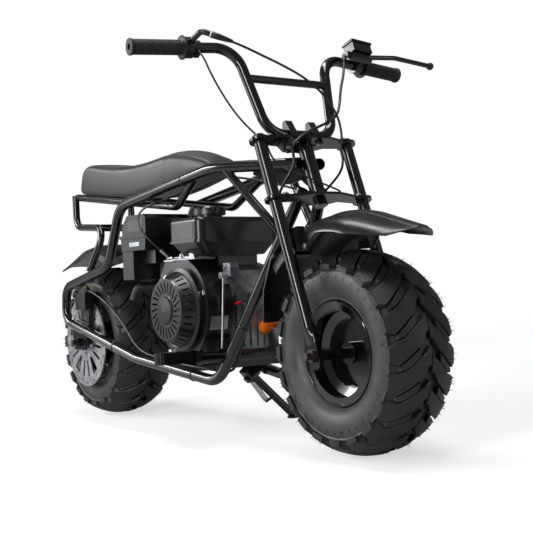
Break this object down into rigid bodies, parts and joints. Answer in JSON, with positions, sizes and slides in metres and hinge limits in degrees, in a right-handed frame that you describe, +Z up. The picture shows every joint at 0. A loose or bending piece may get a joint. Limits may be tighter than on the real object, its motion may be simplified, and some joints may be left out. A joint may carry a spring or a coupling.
{
  "type": "minibike",
  "caption": "Black tubular-frame minibike with a pull-start single, knobby tyres and disc brake, leaning on its side stand.",
  "frame": {"origin": "centre of the bounding box at floor level", "axes": "+X forward, +Y to the rider's left, +Z up; the machine leans 4.5 degrees towards +Y onto its side stand"},
  "size_m": [1.5618, 0.7814, 0.8763],
  "materials": {
    "frame_paint": "gloss black powder coat on steel tube",
    "rim_paint": "gloss black stoved paint on pressed steel",
    "tyre_rubber": "matte moulded rubber",
    "grip_rubber": "matte soft rubber",
    "seat_vinyl": "grained black vinyl over foam",
    "black_plastic": "moulded black plastic",
    "orange_plastic": "moulded orange plastic",
    "fender_plastic": "satin black moulded plastic",
    "shroud_paint": "satin black on pressed steel",
    "engine_alloy": "die cast and left bare",
    "zinc_steel": "bright zinc plate",
    "bright_chrome": "polished",
    "chain_steel": "oiled steel"
  },
  "bodies": {
    "frame": {"air_cleaner": "black_plastic", "axle_plates": "frame_paint", "braces": "frame_paint", "brake_caliper": "zinc_steel", "brake_hose": "black_plastic", "carburettor": "zinc_steel", "chain": "chain_steel", "chain_guard": "frame_paint", "clutch": "zinc_steel", "cross_tubes": "frame_paint", "engine_block": "engine_alloy", "engine_head": "engine_alloy", "engine_tray": "frame_paint", "fan_shroud": "shroud_paint", "footpeg_left": "frame_paint", "footpeg_right": "frame_paint", "frame_loop_left": "frame_paint", "frame_loop_right": "frame_paint", "fuel_cap": "bright_chrome", "fuel_tank": "shroud_paint", "governor": "zinc_steel", "head_gussets": "frame_paint", "head_tube": "frame_paint", "kill_wire": "black_plastic", "muffler": "shroud_paint", "oil_cap": "orange_plastic", "peg_bar": "frame_paint", "rear_axle": "zinc_steel", "rear_fender": "fender_plastic", "recoil_starter": "black_plastic", "seat": "seat_vinyl", "seat_rails": "frame_paint", "seat_supports": "frame_paint", "spark_boot": "grip_rubber", "stand_bracket": "frame_paint", "throttle_cable": "black_plastic"},
    "rear_wheel": {"brake_disc": "zinc_steel", "rear_rim": "rim_paint", "rear_sprocket": "zinc_steel", "rear_tyre": "tyre_rubber"},
    "steering": {"bar_risers": "frame_paint", "brake_hose_bars": "black_plastic", "brake_lever": "shroud_paint", "brake_master": "shroud_paint", "fork_left": "frame_paint", "fork_right": "frame_paint", "front_axle": "zinc_steel", "front_fender": "fender_plastic", "grips": "grip_rubber", "handlebar": "frame_paint", "kill_wire_bars": "black_plastic", "lower_clamp": "frame_paint", "stem": "frame_paint", "throttle_cable_bars": "black_plastic", "throttle_housing": "black_plastic", "upper_clamp": "frame_paint"},
    "front_wheel": {"front_rim": "rim_paint", "front_tyre": "tyre_rubber"},
    "side_stand": {"stand_leg": "frame_paint"}
  },
  "joints": [
    {"name": "rear_wheel_axle", "type": "hinge", "parent": "frame", "child": "rear_wheel", "pos_m": [-0.54924, -0.08463, 0.20255], "axis": [0, 0.9969, -0.0785], "continuous": true},
    {"name": "steering_head", "type": "hinge", "parent": "frame", "child": "steering", "pos_m": [0.38307, -0.05536, 0.57439], "axis": [-0.3551, 0.0733, 0.9319], "range_deg": [-30, 30]},
    {"name": "front_wheel_axle", "type": "hinge", "parent": "steering", "child": "front_wheel", "pos_m": [0.52076, -0.08463, 0.20255], "axis": [0, 0.9969, -0.0785], "continuous": true},
    {"name": "side_stand_pivot", "type": "hinge", "parent": "frame", "child": "side_stand", "pos_m": [-0.00124, -0.00493, 0.11904], "axis": [0.0472, 0.7804, 0.6235], "range_deg": [0, 95.4]}
  ]
}
